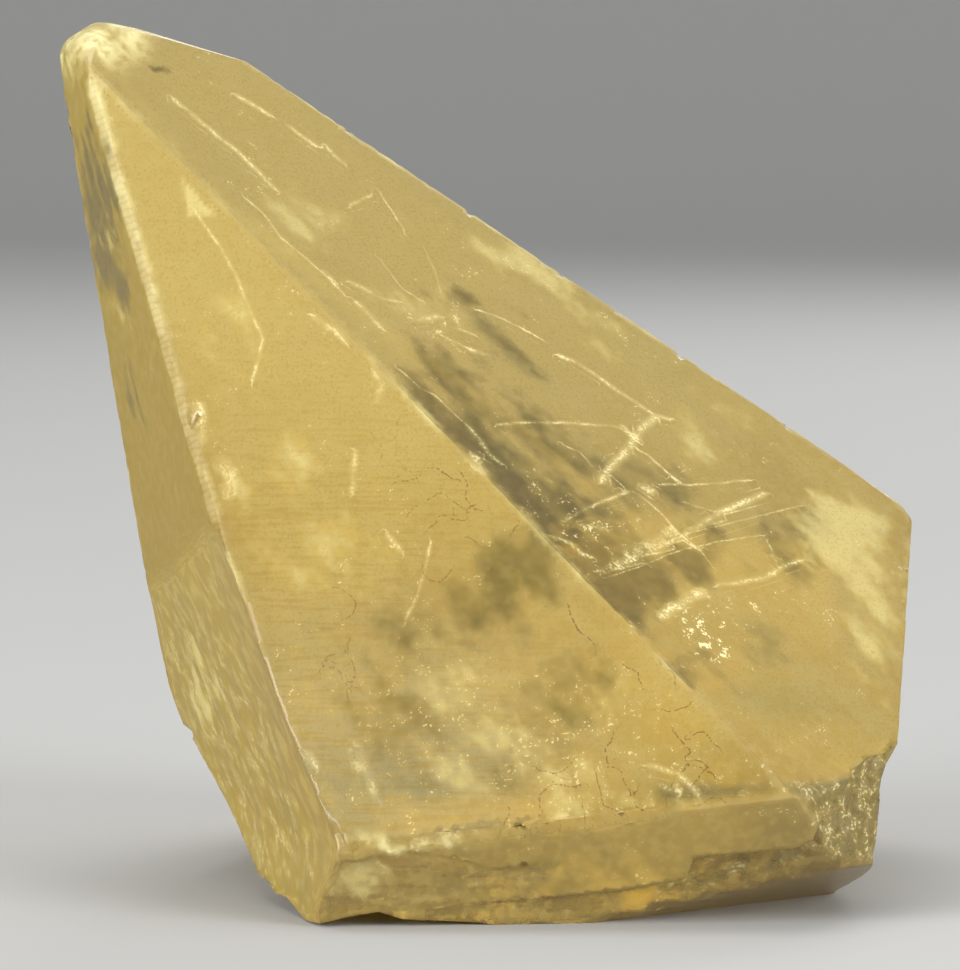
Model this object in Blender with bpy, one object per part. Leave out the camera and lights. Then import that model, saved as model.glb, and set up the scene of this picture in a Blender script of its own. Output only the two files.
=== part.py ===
"""A calcite crystal: one pointed, honey-yellow crystal that stands on its broken base.

It is the steep six-sided pyramid that calcite often grows as. Its upper faces come in pairs round
the crystal's long axis, which leans to the left, and the lower pyramid is mostly broken away. All
lengths here are millimetres; each mesh is turned into metres as it is made. X is to the right, Y is
away from the front, Z is up.
"""

from itertools import combinations
from math import cos, hypot, radians, sin
from random import Random

import bmesh
import bpy
import numpy as np
from mathutils import Matrix, Vector, noise

MM = 0.001

# The long axis leans to the left, and passes right of the middle where it meets the ground.
AXIS_LEAN = 32.0
AXIS_RIGHT = 21.0

# Height of the plane that the crystal rests on, in the frame that the faces are measured in.
BASE_HEIGHT = -0.97

# A face is its direction round the long axis (0 right, 90 front, 180 left), the slope of its
# outward direction towards the tip, both in degrees, and its distance from the axis point.
GROWN_FACES = {
    "front": (79.5, 19.8, 45.1),
    "right": (37.6, 20.8, 41.0),
    "left": (159.7, 21.4, 50.7),
    "back_left": (199.2, 21.6, 52.4),
    "back_right": (-39.9, 17.6, 43.0),
    "back": (-79.1, 21.0, 46.0),
    "front_low": (99.8, -21.6, 35.1),
    "back_low": (-100.9, -21.0, 34.0),
    "right_low": (2.8, -37.6, 25.9),
    "corner_low": (46.9, -16.9, 42.1),
    "back_right_low": (-42.5, -40.7, 25.9),
}
BROKEN_FACES = {
    "flank_high": (-171.2, 14.6, 49.1),
    "flank_mid": (-176.6, -4.9, 35.0),
    "flank_low": (179.6, -25.2, 23.7),
    "right_tip": (1.1, 4.9, 48.8),
    "tip_top": (-8.5, 48.3, 87.8),
    "tip_left": (89.1, 81.5, 118.4),
    "edge_strip": (119.3, 26.2, 59.63),
}
FACES = {**GROWN_FACES, **BROKEN_FACES}
BASE_FACE = (180.0, AXIS_LEAN - 90.0, -BASE_HEIGHT)

# Rounding of the corners: each of these faces has worn corners, and the rest are crisp. The edges
# that run into a worn face stay crisp up to twice its radius away.
WORN_CORNERS = {"tip_top": 2.8, "tip_left": 2.8, "right_tip": 1.3}
CRISP_RADIUS = 0.3

# The flank below the left face: a rough face that flares out into a foot near the ground.
FLANK_FACE = (159.2, 16.8, 46.7)
FLANK_CENTRE = (-27.0, -14.0, 18.0)
FLANK_GRAIN = (19.2, -34.8, -35.2)
FLANK_SIZE = (84.0, 66.0)
FLANK_CELLS = (27, 33)
FOOT_FLARE = 2.9
FOOT_TOP = 10.0

# The broken lower edge of the front: its outline as x and height, and the two planes under it.
LEDGE_EDGE = (
    (-6.0, 0.9), (1.5, 1.5), (8.0, 2.4), (16.0, 3.1), (22.4, 4.2), (23.2, 4.6), (24.0, 7.0), (29.5, 7.5),
    (35.5, 8.0), (37.5, 9.0), (38.2, 11.0), (39.6, 11.5), (41.0, 12.5), (41.4, 14.0), (42.2, 16.2),
    (44.0, 17.4), (46.2, 17.6), (49.0, 20.5),
)
LEDGE_DEPTH_LEFT = 0.5
LUMP_END = 4.6
LEDGE_DEPTH_RIGHT = 2.3
UNDERCUT_HIGH = (102.4, -37.3, 28.1)
UNDERCUT_LOW = (139.5, -65.5, 9.2)

# The broken lower right side: half width at each height.
RIGHT_SIDE = (
    (-1.0, 40.9), (0.0, 42.0), (0.8, 42.7), (1.8, 43.7), (3.0, 44.4), (5.2, 44.9), (7.3, 45.2),
    (11.9, 45.7), (15.3, 45.9), (16.4, 46.7), (17.6, 47.4), (19.3, 48.3),
)

# The worn edge between the front face and the lower front, and the stepped band under it.
WORN_EDGE_ENDS = (-15.5, 25.0)
WORN_EDGE_DEPTH = 0.3
BAND_ENDS = (-21.0, 15.0)
BAND_TOP = 8.4
BAND_DEPTH = 0.3

# The back: unfinished growth layers, each a line across the face from one point to another (x and
# height) with its depth, and the scar where a neighbouring crystal grew against this one.
GROWTH_STEPS = (
    ((-62.0, 92.0), (30.0, -14.0), 0.6),
    ((-62.0, 66.0), (14.0, -14.0), 1.4),
)
STEP_POINTS = 26
STEP_WAVER = 3.0
STEP_AWAY = (-60.0, -60.0)
SCAR_CENTRE = (6.0, 42.0, 7.0)
SCAR_SIZE = (44.0, 30.0)
SCAR_CELLS = (22, 15)

# Small damage. Scoops are centre and half sizes; chips run along an edge between two heights.
SCOOPS = (
    ((-14.2, -45.6, 8.0), (3.4, 1.7, 2.0)),
    ((-9.5, -45.4, 7.4), (3.2, 1.5, 1.3)),
    ((-4.8, -45.0, 8.9), (2.3, 1.2, 1.0)),
    ((17.6, -43.3, 15.6), (0.9, 0.8, 0.7)),
    ((18.6, -43.5, 14.8), (0.6, 0.7, 0.5)),
    ((-5.2, -17.0, 76.6), (1.3, 0.9, 1.2)),
    ((-33.0, -24.5, 56.8), (1.0, 0.9, 2.6)),
    ((-32.3, -26.6, 52.0), (0.9, 0.8, 1.6)),
    ((-35.0, 3.0, 15.6), (1.0, 6.0, 1.0)),
    ((-10.0, 26.5, 66.0), (1.5, 1.2, 2.2)),
    ((14.0, 39.2, 36.0), (2.2, 1.4, 1.2)),
)
CHIPPED_EDGES = (
    ("right", "front_low", 9.8, 14.0, 3, 1.1),
    ("back", "back_left", 12.0, 80.0, 8, 0.8),
    ("right", "back_right", 48.0, 88.0, 6, 0.6),
)

# Where a rough sheet should leave the underside alone, it runs this far below it.
NO_CUT = -0.4

# Flat patches that the crystal rests on (x, y, radius), and the front lip's height above the ground.
RESTS = ((-14.0, -23.0, 5.5), (5.0, -29.0, 5.0), (30.0, -13.0, 6.5), (24.0, 22.0, 7.0), (-9.0, 24.0, 7.0))
FRONT_LIP = (
    (-24.0, 0.0), (-18.0, 0.2), (-14.5, 1.2), (-11.5, 1.7), (-8.3, 0.7), (-6.0, 0.5), (-1.0, 0.3),
    (0.5, 0.0), (3.2, 0.0),
)


def leaning_frame():
    """Right, front and tip directions of the crystal, whose long axis leans to the left."""
    lean = radians(AXIS_LEAN)
    right = Vector((cos(lean), 0.0, sin(lean)))
    front = Vector((0.0, -1.0, 0.0))
    tip = Vector((-sin(lean), 0.0, cos(lean)))
    return right, front, tip


def face_plane(face):
    """Outward direction of a face and its distance from the origin."""
    azimuth, slope, distance = radians(face[0]), radians(face[1]), face[2]
    right, front, tip = leaning_frame()
    normal = (cos(azimuth) * right + sin(azimuth) * front) * cos(slope) + sin(slope) * tip
    return normal, normal.dot(Vector((AXIS_RIGHT, 0.0, 0.0))) + distance


def face_depth(face, x, z):
    """Y at which a face is met, straight in from the front at x and z."""
    normal, distance = face_plane(face)
    return (distance - normal.x * x - normal.z * z) / normal.y


def smooth(value):
    """0 below 0, 1 above 1, and a soft step between."""
    value = min(max(value, 0.0), 1.0)
    return value * value * (3.0 - 2.0 * value)


def rough(x, y, z=0.0):
    return noise.noise(Vector((x, y, z)))


def mesh_object(name, mesh, collection):
    """Make an object in metres from a bmesh in millimetres."""
    bmesh.ops.recalc_face_normals(mesh, faces=mesh.faces)
    bmesh.ops.scale(mesh, vec=(MM, MM, MM), verts=mesh.verts)
    data = bpy.data.meshes.new(name)
    mesh.to_mesh(data)
    mesh.free()
    made = bpy.data.objects.new(name, data)
    collection.objects.link(made)
    return made


def corner_radius(faces):
    return max(WORN_CORNERS.get(face, CRISP_RADIUS) for face in faces)


def corner_points(planes, radius, steps):
    """Points on the small spheres of this radius that round the corners where three faces meet."""
    names = list(planes)
    normals = np.array([planes[name][0] for name in names])
    inner = np.array([planes[name][1] for name in names]) - radius
    points = []
    for trio in combinations(range(len(names)), 3):
        meeting = normals[list(trio)]
        if corner_radius(names[index] for index in trio) != radius or abs(np.linalg.det(meeting)) < 1e-6:
            continue
        centre = np.linalg.solve(meeting, inner[list(trio)])
        if np.any(normals @ centre > inner + 1e-7):
            continue
        for first in range(steps + 1):
            for second in range(steps + 1 - first):
                shares = np.array((first, second, steps - first - second)) / steps
                direction = shares @ meeting
                points.append(centre + radius * direction / np.linalg.norm(direction))
    return points


def edge_stops(planes, steps):
    """Points that keep each edge crisp until it comes near a worn face."""
    names = list(planes)
    normals = np.array([planes[name][0] for name in names])
    inner = np.array([planes[name][1] - 2.0 * WORN_CORNERS.get(name, 0.0) for name in names]) - CRISP_RADIUS
    points = []
    for trio in combinations(range(len(names)), 3):
        edge = [index for index in trio if names[index] not in WORN_CORNERS]
        if len(edge) != 2:
            continue
        centre = np.linalg.solve(normals[list(trio)], inner[list(trio)])
        if np.any(normals @ centre > inner + 1e-7):
            continue
        for step in range(steps + 1):
            direction = normals[edge[0]] * step + normals[edge[1]] * (steps - step)
            points.append(centre + CRISP_RADIUS * direction / np.linalg.norm(direction))
    return points


def crystal_body(collection):
    """The crystal with flat faces and softly rounded corners, before its breaks and pits."""
    planes = {name: face_plane(face) for name, face in FACES.items()}
    planes["base"] = face_plane(BASE_FACE)

    points = corner_points(planes, CRISP_RADIUS, 2) + edge_stops(planes, 2)
    for radius in sorted(set(WORN_CORNERS.values())):
        points += corner_points(planes, radius, 5)
    mesh = bmesh.new()
    for point in points:
        mesh.verts.new(point)
    hull = bmesh.ops.convex_hull(mesh, input=mesh.verts)
    bmesh.ops.delete(mesh, geom=list(set(hull["geom_interior"] + hull["geom_unused"])), context="VERTS")
    bmesh.ops.dissolve_limit(mesh, angle_limit=radians(0.4), verts=mesh.verts, edges=mesh.edges)
    return mesh_object("calcite_crystal", mesh, collection)


def frame_at(centre, outward, along):
    """A frame at centre whose Z is outward and whose X runs along the given direction."""
    z_axis = Vector(outward).normalized()
    x_axis = (Vector(along) - Vector(along).dot(z_axis) * z_axis).normalized()
    turn = Matrix((x_axis, z_axis.cross(x_axis), z_axis)).transposed().to_4x4()
    return Matrix.Translation(Vector(centre)) @ turn


def rough_slab(name, place, size, cells, relief, thickness, cutters):
    """A closed slab whose inner side is a rough sheet, relief(x, y) high, and whose outer side is flat."""
    mesh = bmesh.new()
    spread = Matrix.Diagonal((size[0], size[1], 1.0, 1.0))
    bmesh.ops.create_grid(mesh, x_segments=cells[0], y_segments=cells[1], size=0.5, matrix=spread)
    for vertex in mesh.verts:
        vertex.co.z = relief(vertex.co.x, vertex.co.y)
    outer = bmesh.ops.extrude_face_region(mesh, geom=mesh.faces[:])["geom"]
    for vertex in (item for item in outer if isinstance(item, bmesh.types.BMVert)):
        vertex.co.z = thickness
    bmesh.ops.triangulate(mesh, faces=mesh.faces)
    bmesh.ops.transform(mesh, matrix=place, verts=mesh.verts)
    return cutter_object(name, mesh, cutters)


def outline_prism(name, outline, place, depth, cutters):
    """A flat outline pushed from minus to plus half the depth."""
    mesh = bmesh.new()
    corners = [mesh.verts.new((x, y, -depth / 2.0)) for x, y in outline]
    face = mesh.faces.new(corners)
    outer = bmesh.ops.extrude_face_region(mesh, geom=[face])["geom"]
    for vertex in (item for item in outer if isinstance(item, bmesh.types.BMVert)):
        vertex.co.z = depth / 2.0
    bmesh.ops.transform(mesh, matrix=place, verts=mesh.verts)
    return cutter_object(name, mesh, cutters)


def add_pebble(mesh, centre, half_sizes, seed, divisions):
    """Add a lumpy pebble, which bites a scoop or a chip out of the crystal."""
    pebble = bmesh.ops.create_icosphere(mesh, subdivisions=divisions, radius=1.0)["verts"]
    for vertex in pebble:
        lump = 1.0 + 0.35 * rough(vertex.co.x * 1.7 + seed, vertex.co.y * 1.7, vertex.co.z * 1.7)
        vertex.co = Vector(centre) + Vector(vertex.co[axis] * half_sizes[axis] * lump for axis in range(3))


def cutter_object(name, mesh, cutters):
    cutter = mesh_object(name, mesh, cutters)
    cutter.hide_render = True
    cutter.display_type = "WIRE"
    return cutter


def combine(target, other, operation="DIFFERENCE", overlapping=False):
    modifier = target.modifiers.new(other.name, "BOOLEAN")
    modifier.operation = operation
    modifier.solver = "EXACT"
    modifier.use_self = overlapping
    modifier.object = other


def flank_cutter(cutters):
    """Rough flank: lines along the grain, low lumps, and a foot that flares out near the ground."""
    outward = face_plane(FLANK_FACE)[0]
    start = Vector(FLANK_CENTRE)
    on_face = start + outward * (face_plane(FLANK_FACE)[1] - outward.dot(start))
    place = frame_at(on_face, outward, FLANK_GRAIN)

    def relief(s, t):
        height = (place @ Vector((s, t, 0.0))).z
        foot = FOOT_FLARE * smooth((FOOT_TOP - height) / (FOOT_TOP - BASE_HEIGHT))
        worn = 0.25 + 0.75 * smooth((36.0 - height) / 14.0)
        lines = 0.30 * rough(s / 24.0, t / 2.7, 3.1)
        lumps = 0.45 * rough(s / 11.0, t / 6.5, 7.7)
        return foot + worn * (lines + lumps)

    return rough_slab("flank_break", place, FLANK_SIZE, FLANK_CELLS, relief, 14.0, cutters)


def ledge_cutter(cutters):
    """The layer lost from the lower front: a glittering rough step, then two plain broken planes."""
    centre_x, centre_z = 22.0, 8.5
    place = frame_at((centre_x, 0.0, centre_z), (0.0, -1.0, 0.0), (1.0, 0.0, 0.0))

    def relief(s, t):
        x, z = centre_x + s, centre_z + t
        skin = max(face_depth(GROWN_FACES[name], x, z) for name in ("front_low", "corner_low"))
        depth = LEDGE_DEPTH_LEFT + (LEDGE_DEPTH_RIGHT - LEDGE_DEPTH_LEFT) * smooth(x / 34.0)
        grit = 0.7 * rough(x / 2.1, z / 2.1, 4.2) * smooth((x - 20.0) / 8.0)
        grit += 0.15 * rough(x / 5.0, z / 3.0, 8.8)
        undercut = max(face_depth(UNDERCUT_HIGH, x, z), face_depth(UNDERCUT_LOW, x, z))
        undercut -= 12.0 * smooth((LUMP_END - x) / 1.5)
        return -max(skin + depth + grit, undercut + 0.12 * rough(x / 4.0, z / 2.0, 2.2))

    sheet = rough_slab("ledge_break", place, (62.0, 26.0), (52, 22), relief, 70.0, cutters)
    outline = list(LEDGE_EDGE) + [(60.0, 20.5), (60.0, -12.0), (-6.0, -12.0)]
    flat = frame_at((0.0, -30.0, 0.0), (0.0, -1.0, 0.0), (1.0, 0.0, 0.0))
    window = outline_prism("ledge_outline", outline, flat, 80.0, cutters)
    combine(sheet, window, "INTERSECT")
    return sheet


def right_side_cutter(cutters):
    """The broken right side near the ground."""
    heights = [row[0] for row in RIGHT_SIDE]
    widths = [row[1] for row in RIGHT_SIDE]
    centre_y, centre_z = -8.0, 8.0
    place = frame_at((0.0, centre_y, centre_z), (1.0, 0.0, 0.0), (0.0, 1.0, 0.0))

    def relief(s, t):
        y, z = centre_y + s, centre_z + t
        behind = smooth((y + 6.0) / 9.0)
        height = z + (4.5 * rough(y / 10.0, 3.7) - 0.16 * (y + 6.0)) * behind
        width = float(np.interp(height, heights, widths)) + max(height - heights[-1], 0.0) * 0.6
        hollow = 1.4 * max(rough(y / 8.0, z / 6.0, 2.4) + 0.25, 0.0) * behind
        return width - hollow - 0.012 * (y + 28.0) + 0.32 * rough(y / 4.5, z / 2.8, 6.1)

    return rough_slab("right_break", place, (80.0, 26.0), (26, 16), relief, 70.0, cutters)


def base_cutter(cutters):
    """Hollows in the underside, which leave the flat patches that the crystal rests on."""
    centre_x, centre_y = 12.0, -2.0
    place = frame_at((centre_x, centre_y, 0.0), (0.0, 0.0, -1.0), (1.0, 0.0, 0.0))
    lip_x = [row[0] for row in FRONT_LIP]
    lip_height = [row[1] for row in FRONT_LIP]

    def relief(s, t):
        x, y = centre_x + s, centre_y - t
        hollow = 1.5 + 2.6 * rough(x / 14.0, y / 12.0, 5.3) + 1.1 * rough(x / 5.5, y / 4.5, 1.7)
        hollow = min(hollow, 3.4)
        for rest_x, rest_y, radius in RESTS:
            hollow = min(hollow, (hypot(x - rest_x, y - rest_y) / radius - 1.0) * 3.0)
        rim = face_depth(UNDERCUT_LOW, x, BASE_HEIGHT) if x > LUMP_END else -36.0
        hollow = NO_CUT + (hollow - NO_CUT) * smooth((y - rim - 1.5) / 3.0)
        lip = NO_CUT + float(np.interp(x, lip_x, lip_height) - NO_CUT) * smooth((-27.0 - y) / 5.0)
        return -(BASE_HEIGHT + max(hollow, lip, NO_CUT))

    return rough_slab("base_break", place, (78.0, 86.0), (30, 33), relief, 12.0, cutters)


def edge_point(first, second, height):
    """Point at a height on the edge where two faces meet."""
    planes = [face_plane(FACES[first]), face_plane(FACES[second])]
    rows = [tuple(normal) for normal, distance in planes] + [(0.0, 0.0, 1.0)]
    return Vector(np.linalg.solve(rows, [planes[0][1], planes[1][1], height]))


def worn_edge_cutter(cutters):
    """The bruised bevel along the widest line, where the front face turns under."""
    start, end = (edge_point("front", "front_low", height) for height in (8.0, 13.0))
    outward = face_plane(GROWN_FACES["front"])[0] + face_plane(GROWN_FACES["front_low"])[0]
    place = frame_at((start + end) / 2.0, outward, end - start)

    def relief(s, t):
        x = (place @ Vector((s, t, 0.0))).x
        inside = smooth((x - WORN_EDGE_ENDS[0]) / 3.0) * smooth((WORN_EDGE_ENDS[1] - x) / 4.0)
        bruised = 0.2 * rough(s / 5.0, t / 2.0, 3.3) + 0.1 * rough(s / 1.7, t / 1.5, 5.1)
        return 0.4 - (0.4 + WORN_EDGE_DEPTH) * inside + bruised * inside

    return rough_slab("worn_edge", place, (58.0, 9.0), (44, 7), relief, 8.0, cutters)


def band_cutter(cutters):
    """Level steps on the lower front, left by layers that broke away."""
    outward, distance = face_plane(GROWN_FACES["front_low"])
    start = Vector((4.0, -42.0, 4.5))
    on_face = start + outward * (distance - outward.dot(start))
    place = frame_at(on_face, outward, (1.0, 0.0, 0.0))

    def relief(s, t):
        point = place @ Vector((s, t, 0.0))
        ends = smooth((point.x - BAND_ENDS[0]) / 5.0) * smooth((BAND_ENDS[1] - point.x) / 11.0)
        top = BAND_TOP + 1.6 * rough(point.x / 6.0, 6.3)
        inside = ends * smooth((top - point.z) / 2.0)
        steps = 0.34 * rough(point.x / 14.0, point.z / 1.2, 9.4) + 0.16 * rough(point.x / 3.0, point.z, 2.9)
        return 0.3 - (0.3 + BAND_DEPTH) * inside + steps * inside

    return rough_slab("band_steps", place, (48.0, 16.0), (30, 20), relief, 8.0, cutters)


def growth_step_cutter(number, cutters):
    """A growth layer that stops along a wavering line across the back face."""
    start, end, depth = GROWTH_STEPS[number]
    outward, distance = face_plane(GROWN_FACES["back"])
    centre = outward * distance
    place = frame_at(centre, outward, (1.0, 0.0, 0.0))
    rise = place.col[1].z
    first = Vector((start[0] - centre.x, (start[1] - centre.z) / rise))
    last = Vector((end[0] - centre.x, (end[1] - centre.z) / rise))
    side = (last - first).orthogonal().normalized()
    outline = []
    for step in range(STEP_POINTS):
        share = step / (STEP_POINTS - 1)
        waver = STEP_WAVER * rough(share * 5.0, number * 5.0) + 0.9 * rough(share * 17.0, number * 9.0)
        outline.append(first.lerp(last, share) + side * waver)
    away = Vector((STEP_AWAY[0], STEP_AWAY[1] / rise))
    outline += [last + away, first + away]
    return outline_prism(f"growth_step_{number}", outline, place, 2.0 * depth, cutters)


def scar_cutter(cutters):
    """A rough hollow low on the back, where another crystal grew against this one."""
    outward, distance = face_plane(GROWN_FACES["back_low"])
    start = Vector(SCAR_CENTRE)
    on_face = start + outward * (distance - outward.dot(start))
    place = frame_at(on_face, outward, (1.0, 0.0, 0.0))

    def relief(s, t):
        edge = hypot(s / SCAR_SIZE[0], t / SCAR_SIZE[1]) * 2.0
        rim = 1.0 - smooth((edge - 0.3) / 0.6)
        lumps = 1.3 * rough(s / 9.0, t / 7.0, 4.4) + 0.6 * rough(s / 3.6, t / 3.2, 8.1)
        return 1.6 - 4.4 * rim + lumps

    return rough_slab("back_scar", place, SCAR_SIZE, SCAR_CELLS, relief, 12.0, cutters)


def damage_cutter(cutters):
    """Scoops on the faces, and small chips along the edges."""
    mesh = bmesh.new()
    for number, (centre, half_sizes) in enumerate(SCOOPS):
        add_pebble(mesh, centre, half_sizes, number * 3.7, 2)
    chance = Random(11)
    for first, second, low, high, count, size in CHIPPED_EDGES:
        for number in range(count):
            height = low + (high - low) * (number + chance.uniform(0.1, 0.9)) / count
            centre = edge_point(first, second, height)
            reach = size * chance.uniform(0.6, 1.25)
            add_pebble(mesh, centre, (reach, reach, reach * chance.uniform(0.5, 1.1)), height, 1)
    return cutter_object("chips", mesh, cutters)


def centre_over_base(objects, body):
    """Move everything so that the crystal's box is centred over the origin and stands on it."""
    bpy.context.view_layer.update()
    shape = body.evaluated_get(bpy.context.evaluated_depsgraph_get()).to_mesh()
    corners = np.array([vertex.co for vertex in shape.vertices])
    low, high = corners.min(axis=0), corners.max(axis=0)
    shift = Vector((-(low[0] + high[0]) / 2.0, -(low[1] + high[1]) / 2.0, -low[2]))
    for item in objects:
        item.location += shift


def honey_calcite():
    material = bpy.data.materials.new("honey_calcite")
    material.use_nodes = True
    shader = material.node_tree.nodes["Principled BSDF"]
    shader.inputs["Base Color"].default_value = (0.64, 0.485, 0.15, 1.0)
    shader.inputs["Roughness"].default_value = 0.3
    shader.inputs["Metallic"].default_value = 0.0
    shader.inputs["IOR"].default_value = 1.6
    shader.inputs["Transmission Weight"].default_value = 0.5
    return material


def main():
    for item in list(bpy.data.objects):
        bpy.data.objects.remove(item, do_unlink=True)
    crystal = bpy.data.collections.new("calcite_crystal")
    cutters = bpy.data.collections.new("cutters")
    bpy.context.scene.collection.children.link(crystal)
    bpy.context.scene.collection.children.link(cutters)

    body = crystal_body(crystal)
    body.data.materials.append(honey_calcite())
    for number in range(len(GROWTH_STEPS)):
        combine(body, growth_step_cutter(number, cutters))
    for make_cutter in (
        flank_cutter, band_cutter, worn_edge_cutter, ledge_cutter, right_side_cutter, scar_cutter,
        base_cutter,
    ):
        combine(body, make_cutter(cutters))
    combine(body, damage_cutter(cutters), overlapping=True)
    centre_over_base(list(crystal.objects) + list(cutters.objects), body)


main()
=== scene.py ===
"""Looks of the calcite crystal: honey-yellow, cloudy, see-through in places, worn and chipped.

The one CAD solid is replaced by a finer copy of itself, pressed in by small relief. The veils, cracks,
clear windows, clouds and breaks are values kept at the copy's points, which one material turns into
colour, clearness and gloss. Lengths are millimetres in the frame of the CAD.
"""
from math import ceil, cos, hypot, pi, radians, sin
from random import Random

import bmesh
import bpy
import numpy as np
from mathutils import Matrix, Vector, kdtree, noise
from mathutils.geometry import delaunay_2d_cdt


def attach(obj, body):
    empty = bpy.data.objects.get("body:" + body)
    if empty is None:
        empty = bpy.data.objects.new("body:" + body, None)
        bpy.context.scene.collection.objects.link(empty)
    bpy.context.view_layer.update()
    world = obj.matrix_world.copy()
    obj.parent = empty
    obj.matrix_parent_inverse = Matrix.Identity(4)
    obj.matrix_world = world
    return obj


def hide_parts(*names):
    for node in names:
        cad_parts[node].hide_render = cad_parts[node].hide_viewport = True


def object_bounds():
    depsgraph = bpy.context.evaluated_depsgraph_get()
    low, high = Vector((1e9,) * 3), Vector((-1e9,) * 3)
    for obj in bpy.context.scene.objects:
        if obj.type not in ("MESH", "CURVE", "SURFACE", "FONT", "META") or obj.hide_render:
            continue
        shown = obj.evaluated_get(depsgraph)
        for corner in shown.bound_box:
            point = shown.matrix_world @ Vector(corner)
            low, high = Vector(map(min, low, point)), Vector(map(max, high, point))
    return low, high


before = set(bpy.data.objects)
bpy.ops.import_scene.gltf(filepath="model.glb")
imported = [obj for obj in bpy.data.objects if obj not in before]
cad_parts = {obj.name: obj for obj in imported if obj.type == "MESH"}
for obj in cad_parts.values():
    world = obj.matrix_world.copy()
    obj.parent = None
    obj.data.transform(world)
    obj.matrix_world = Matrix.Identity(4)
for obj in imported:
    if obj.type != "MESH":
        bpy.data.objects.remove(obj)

MM = 0.001
CAD_LOW, CAD_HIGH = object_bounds()

# The crystal's faces, as the CAD measures them: direction round the long axis, slope towards the
# tip and distance. The long axis leans to the left. SHIFT leads to the CAD's centred frame.
AXIS_LEAN = 32.0
AXIS_RIGHT = 21.0
SHIFT = np.array((-0.83, 0.27, 0.97))
FACES = {
    "front": (79.5, 19.8, 45.1),
    "right": (37.6, 20.8, 41.0),
    "left": (159.7, 21.4, 50.7),
    "back_left": (199.2, 21.6, 52.4),
    "back_right": (-39.9, 17.6, 43.0),
    "back": (-79.1, 21.0, 46.0),
    "front_low": (99.8, -21.6, 35.1),
    "back_low": (-100.9, -21.0, 34.0),
    "right_low": (2.8, -37.6, 25.9),
    "corner_low": (46.9, -16.9, 42.1),
    "back_right_low": (-42.5, -40.7, 25.9),
    "right_tip": (1.1, 4.9, 48.8),
    "tip_top": (-8.5, 48.3, 87.8),
    "tip_left": (89.1, 81.5, 118.4),
    "edge_strip": (119.3, 26.2, 59.63),
}
SEEN_FACES = ("front", "right", "left", "edge_strip", "front_low")

# The view of the photograph: level with the crystal's middle, five degrees down, long lens.
VIEW_TARGET = Vector((-0.83, 0.27, 46.47))
VIEW_DISTANCE = 800.0
VIEW_DOWN = 5.0
VIEW_LENS = 254.25
VIEW_SENSOR = 36.0
VIEW_NEAREST = 10.0

# Colours, as linear red, green and blue.
HONEY = (0.735, 0.53, 0.118, 1.0)
HONEY_DEEP = (0.60, 0.405, 0.08, 1.0)
HONEY_PALE = (0.78, 0.61, 0.19, 1.0)
# Painted shade: the clear windows are painted this dark for the darkness seen through them.
WINDOW_SHADE = (0.38, 0.33, 0.06, 1.0)
# Pale cloud colour, also used for the glint, a painted reflection.
CLOUD_AND_GLINT = (0.86, 0.76, 0.32, 1.0)
# Painted shade: the left face is painted darker and deeper yellow than the rest, as if it lay in shade.
LEFT_FACE_SHADE = (0.62, 0.44, 0.03, 1.0)
MILKY = (0.60, 0.53, 0.26, 1.0)
ORANGE = (0.46, 0.28, 0.06, 1.0)
# Painted shade: the faces under the front that look down are painted a darker olive.
LOWER_SHADE_OLIVE = (0.45, 0.34, 0.08, 1.0)
BROWN = (0.35, 0.26, 0.095, 1.0)
BAND_GREY = (0.40, 0.31, 0.11, 1.0)
# Painted shade: the set-back ledge under the front layer is painted dark grey for the shadow it lies in.
LEDGE_SHADE_GREY = (0.27, 0.235, 0.09, 1.0)
FLANK_PALE = (0.47, 0.355, 0.09, 1.0)
CRACK_BROWN = (0.22, 0.09, 0.02, 1.0)
# Chalky white, also used for the painted highlight along the worn edges.
CHALK_AND_HIGHLIGHT = (0.76, 0.71, 0.36, 1.0)
# White of the veils; the flakes and chips, partly painted sparkle, use it too.
VEIL_AND_SPARKLE = (0.86, 0.79, 0.47, 1.0)

# How the crystal bends, mirrors and swallows light.
IOR = 1.6
SPECULAR_LEVEL = 0.35
ABSORB_COLOUR = (0.92, 0.80, 0.35, 1.0)
ABSORB_DENSITY = 25.0

# The fine mesh: the edge length at the back, on the bevel, on the breaks and elsewhere.
EDGE_BACK = 1.5
EDGE_BEVEL = 0.42
EDGE_BROKEN = 0.55
EDGE_FRONT = 0.66

# How it is made: the part of an edge length that may be left over when an edge is cut, the shift of
# every other row of new points, the height of a row and the gap to the face's rim in edge lengths,
# then the gaps and the angle within which points and faces are one, and the angle of a sharp edge.
EDGE_SLACK = 0.2
ROW_SHIFT = 0.3
ROW_STEP = 0.87
RIM_GAP = 0.62
WELD_GAP = 0.001
FILL_GAP = 1e-5
FLAT_ANGLE = 0.2
SHARP_ANGLE = 28.0

# Where each kind of surface begins and ends: y of the back, x and z of the rest, and how far below
# the flat faces a point still counts as bevel, as unbroken or as resting on the floor.
BACK_START = 16.0
BEVEL_FOOT = 36.0
BEVEL_DEPTH = 0.5
BREAKS_TOP = 26.0
BREAKS_LEFT = -14.0
BREAKS_RIGHT = 36.0
RUBBLE_TOP = 11.0
BROKEN_GAP = 0.12
FLANK_TOP = 46.0
UNDER_TOP = 16.5
UNDER_LEFT = -18.5
BAND_RIGHT = 17.0
GIRDLE_RIGHT = 28.0
LEDGE_LEFT = 19.0
LEDGE_TOP = 22.0
LEDGE_CORNER = 30.0
STRIP_FOOT = 38.0
BASE_TOP = 5.0
FLOOR_GAP = 0.02

# Places and directions on the crystal.
TIP_POINT = (-46.5, 0.5, 99.5)
ORANGE_START = (-31.0, -33.0, 38.0)
ORANGE_END = (-19.5, -43.5, 4.0)
FLANK_GRAIN = (0.362, -0.656, -0.663)
BEVEL_ALONG = (0.213, -0.335, -0.918)

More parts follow.
